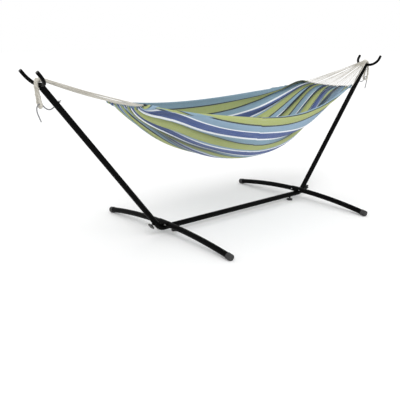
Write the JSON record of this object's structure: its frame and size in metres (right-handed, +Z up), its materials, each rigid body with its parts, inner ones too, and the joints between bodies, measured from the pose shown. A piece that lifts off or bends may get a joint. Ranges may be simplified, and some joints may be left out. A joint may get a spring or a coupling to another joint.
{
  "type": "hammock on stand",
  "caption": "Striped cloth hammock hung by fanned strings between two raked arms of a free-standing steel tube stand with curved cross feet, clamp knobs and U-shaped hooks.",
  "frame": {"origin": "on the ground, under the middle of the stand", "axes": "+X along the hammock towards the right-hand arm, +Y away from the viewer's side across the hammock, +Z up"},
  "size_m": [2.8406, 1.1994, 1.0093],
  "materials": {
    "black_steel": "black powder coat, satin, fine texture",
    "foot_rubber": "moulded, matt, dark grey",
    "black_plastic": "moulded, satin",
    "zinc_steel": "zinc plated",
    "striped_cloth": "woven cotton in lengthwise stripes of blue, green, navy, white and dark lines",
    "white_cotton": "twisted and braided natural cotton",
    "grey_cord": "twisted grey cord"
  },
  "bodies": {
    "stand": {"beam_tube": "black_steel", "elbow_left": "black_steel", "elbow_right": "black_steel", "cross_sleeve_left": "black_steel", "cross_sleeve_right": "black_steel", "arm_left": "black_steel", "arm_right": "black_steel", "hook_fork_left": "black_steel", "hook_fork_right": "black_steel", "foot_tube_front_left": "black_steel", "foot_tube_front_right": "black_steel", "foot_cap_front_left": "foot_rubber", "foot_cap_front_right": "foot_rubber", "foot_tube_rear_left": "black_steel", "foot_tube_rear_right": "black_steel", "foot_cap_rear_left": "foot_rubber", "foot_cap_rear_right": "foot_rubber", "foot_bolts_left": "zinc_steel", "foot_bolts_right": "zinc_steel", "foot_nuts_left": "zinc_steel", "foot_nuts_right": "zinc_steel", "weld_nut_beam_left": "black_steel", "weld_nut_beam_right": "black_steel", "weld_nut_arm_left": "black_steel", "weld_nut_arm_right": "black_steel", "fork_plugs_left": "black_plastic", "fork_plugs_right": "black_plastic", "rope_eye_left": "white_cotton", "rope_eye_right": "white_cotton", "tie_cord_left": "grey_cord", "tie_cord_right": "grey_cord", "tie_knot_left": "grey_cord", "tie_knot_right": "grey_cord"},
    "hammock": {"bed": "striped_cloth", "gathered_neck_left": "white_cotton", "gathered_neck_right": "white_cotton", "strings_left": "white_cotton", "strings_right": "white_cotton"},
    "knob_beam_left_body": {"knob_beam_left": "black_plastic", "knob_stud_beam_left": "zinc_steel"},
    "knob_beam_right_body": {"knob_beam_right": "black_plastic", "knob_stud_beam_right": "zinc_steel"},
    "knob_arm_left_body": {"knob_arm_left": "black_plastic", "knob_stud_arm_left": "zinc_steel"},
    "knob_arm_right_body": {"knob_arm_right": "black_plastic", "knob_stud_arm_right": "zinc_steel"}
  },
  "joints": [
    {"name": "swing", "type": "hinge", "parent": "stand", "child": "hammock", "pos_m": [0, 0, 0.962], "axis": [1, 0, 0], "range_deg": [-30, 30]},
    {"name": "knob_beam_left_turn", "type": "hinge", "parent": "stand", "child": "knob_beam_left_body", "pos_m": [-0.532, 0, 0.0115], "axis": [0, 0, -1], "continuous": true},
    {"name": "knob_arm_left_turn", "type": "hinge", "parent": "stand", "child": "knob_arm_left_body", "pos_m": [-0.70785, 0, 0.07023], "axis": [-0.7821, 0, -0.6232], "continuous": true},
    {"name": "knob_beam_right_turn", "type": "hinge", "parent": "stand", "child": "knob_beam_right_body", "pos_m": [0.532, 0, 0.0115], "axis": [0, 0, -1], "continuous": true},
    {"name": "knob_arm_right_turn", "type": "hinge", "parent": "stand", "child": "knob_arm_right_body", "pos_m": [0.70785, 0, 0.07023], "axis": [0.7821, 0, -0.6232], "continuous": true}
  ]
}
